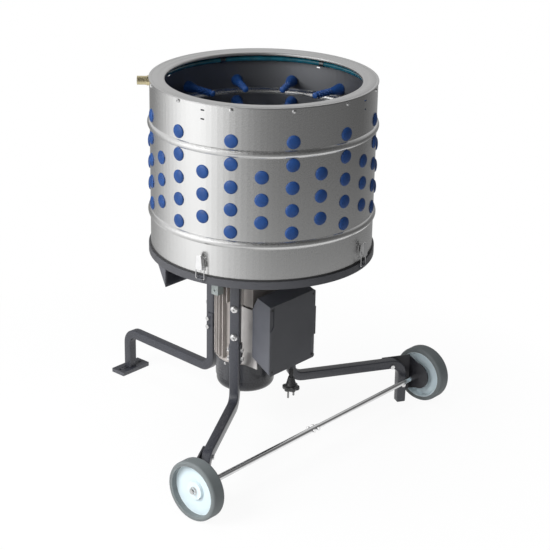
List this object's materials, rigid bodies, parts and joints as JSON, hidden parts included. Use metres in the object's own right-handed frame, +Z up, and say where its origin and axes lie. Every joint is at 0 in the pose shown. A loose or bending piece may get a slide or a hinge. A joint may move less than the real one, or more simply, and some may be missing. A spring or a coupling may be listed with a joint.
{
  "type": "poultry plucker",
  "caption": "Drum poultry plucker: steel drum lined with rubber fingers over a motor-driven finger plate, on a three-legged wheeled stand.",
  "frame": {"origin": "floor level under the middle of the footprint", "axes": "+Z up, +X along the axle towards the right wheel, +Y towards the single foot leg"},
  "size_m": [0.832, 0.742, 0.86],
  "materials": {
    "steel_sheet": "brushed",
    "polished_steel": "polished",
    "zinc_plated": "satin",
    "galvanised": "matte",
    "machined_steel": "satin",
    "blue_rubber": "satin",
    "dark_paint": "satin",
    "black_paint": "satin",
    "cast_aluminium": "matte",
    "brass_fitting": "satin",
    "teal_hose": "gloss",
    "black_rubber": "matte",
    "copper_winding": "satin",
    "dark_plastic": "matte",
    "grey_plastic": "matte",
    "green_button": "gloss",
    "red_button": "gloss",
    "grey_tyre": "matte",
    "pale_hub": "satin"
  },
  "bodies": {
    "stand_and_drum": {"drum_shell": "steel_sheet", "rim_ring": "polished_steel", "rim_screws": "zinc_plated", "spray_ring": "teal_hose", "spray_clips": "zinc_plated", "water_inlet": "brass_fitting", "drum_fingers": "blue_rubber", "latch_plates": "zinc_plated", "latch_keepers": "zinc_plated", "base_tray": "dark_paint", "drum_seal": "black_rubber", "feather_chute": "dark_paint", "mount_plate": "dark_paint", "drive_bolts": "zinc_plated", "gear_case": "cast_aluminium", "bearing_housing": "cast_aluminium", "bearings": "polished_steel", "motor_housing": "cast_aluminium", "stator": "copper_winding", "fan_cowl": "dark_paint", "cowl_screws": "zinc_plated", "terminal_block": "grey_plastic", "control_box": "dark_paint", "control_cover": "dark_paint", "cover_screws": "black_paint", "switch_body": "dark_plastic", "box_bracket": "galvanised", "cord_gland": "dark_plastic", "mains_cord": "black_rubber", "mains_plug": "dark_plastic", "legs": "dark_paint", "foot_plate": "dark_paint", "leg_channels": "dark_paint", "frame_bolts": "zinc_plated", "wheel_brackets": "black_paint", "axle_tube": "polished_steel", "axle_rod": "polished_steel", "wheel_nuts": "zinc_plated"},
    "feather_plate_drive": {"feather_plate": "steel_sheet", "plate_fingers": "blue_rubber", "plate_shaft": "machined_steel", "plate_nuts": "zinc_plated", "drive_gear": "machined_steel"},
    "motor_rotor": {"rotor": "machined_steel", "pinion": "machined_steel", "cooling_fan": "dark_plastic"},
    "left_wheel": {"tyre_left": "grey_tyre", "hub_left": "pale_hub"},
    "right_wheel": {"tyre_right": "grey_tyre", "hub_right": "pale_hub"},
    "start_push": {"start_button": "green_button"},
    "stop_push": {"stop_button": "red_button"},
    "latch_lever_1": {"lever_1": "polished_steel"},
    "latch_bail_1": {"bail_1": "polished_steel"},
    "latch_lever_2": {"lever_2": "polished_steel"},
    "latch_bail_2": {"bail_2": "polished_steel"},
    "latch_lever_3": {"lever_3": "polished_steel"},
    "latch_bail_3": {"bail_3": "polished_steel"},
    "latch_lever_4": {"lever_4": "polished_steel"},
    "latch_bail_4": {"bail_4": "polished_steel"}
  },
  "joints": [
    {"name": "plate_spin", "type": "hinge", "parent": "stand_and_drum", "child": "feather_plate_drive", "pos_m": [0, -0.10858, 0.486], "axis": [0, 0, 1], "continuous": true},
    {"name": "rotor_spin", "type": "hinge", "parent": "stand_and_drum", "child": "motor_rotor", "pos_m": [0, -0.06358, 0.29], "axis": [0, 0, 1], "continuous": true},
    {"name": "left_wheel_spin", "type": "hinge", "parent": "stand_and_drum", "child": "left_wheel", "pos_m": [-0.399, -0.29058, 0.068], "axis": [1, 0, 0], "continuous": true},
    {"name": "right_wheel_spin", "type": "hinge", "parent": "stand_and_drum", "child": "right_wheel", "pos_m": [0.399, -0.29058, 0.068], "axis": [1, 0, 0], "continuous": true},
    {"name": "start_press", "type": "slide", "parent": "stand_and_drum", "child": "start_push", "axis": [-1, 0, 0], "range_m": [0, 0.004], "stiffness_N_per_m": 500},
    {"name": "stop_press", "type": "slide", "parent": "stand_and_drum", "child": "stop_push", "axis": [-1, 0, 0], "range_m": [0, 0.004], "stiffness_N_per_m": 500},
    {"name": "lever_1_swing", "type": "hinge", "parent": "stand_and_drum", "child": "latch_lever_1", "pos_m": [0.25429, -0.05684, 0.498], "axis": [-0.1994, 0.9799, 0], "range_deg": [0, 95]},
    {"name": "bail_1_swing", "type": "hinge", "parent": "latch_lever_1", "child": "latch_bail_1", "pos_m": [0.2539, -0.05692, 0.504], "axis": [-0.1994, 0.9799, 0], "range_deg": [-112, 0]},
    {"name": "lever_2_swing", "type": "hinge", "parent": "stand_and_drum", "child": "latch_lever_2", "pos_m": [-0.05174, 0.14571, 0.498], "axis": [-0.9799, -0.1994, 0], "range_deg": [0, 95]},
    {"name": "bail_2_swing", "type": "hinge", "parent": "latch_lever_2", "child": "latch_bail_2", "pos_m": [-0.05166, 0.14532, 0.504], "axis": [-0.9799, -0.1994, 0], "range_deg": [-112, 0]},
    {"name": "lever_3_swing", "type": "hinge", "parent": "stand_and_drum", "child": "latch_lever_3", "pos_m": [-0.25429, -0.16032, 0.498], "axis": [0.1994, -0.9799, 0], "range_deg": [0, 95]},
    {"name": "bail_3_swing", "type": "hinge", "parent": "latch_lever_3", "child": "latch_bail_3", "pos_m": [-0.2539, -0.16024, 0.504], "axis": [0.1994, -0.9799, 0], "range_deg": [-112, 0]},
    {"name": "lever_4_swing", "type": "hinge", "parent": "stand_and_drum", "child": "latch_lever_4", "pos_m": [0.05174, -0.36287, 0.498], "axis": [0.9799, 0.1994, 0], "range_deg": [0, 95]},
    {"name": "bail_4_swing", "type": "hinge", "parent": "latch_lever_4", "child": "latch_bail_4", "pos_m": [0.05166, -0.36248, 0.504], "axis": [0.9799, 0.1994, 0], "range_deg": [-112, 0]}
  ],
  "couplings": [
    {"joint": "rotor_spin", "follows": "plate_spin", "ratio": -4},
    {"joint": "bail_1_swing", "follows": "lever_1_swing", "ratio": -1.15},
    {"joint": "bail_2_swing", "follows": "lever_2_swing", "ratio": -1.15},
    {"joint": "bail_3_swing", "follows": "lever_3_swing", "ratio": -1.15},
    {"joint": "bail_4_swing", "follows": "lever_4_swing", "ratio": -1.15}
  ]
}
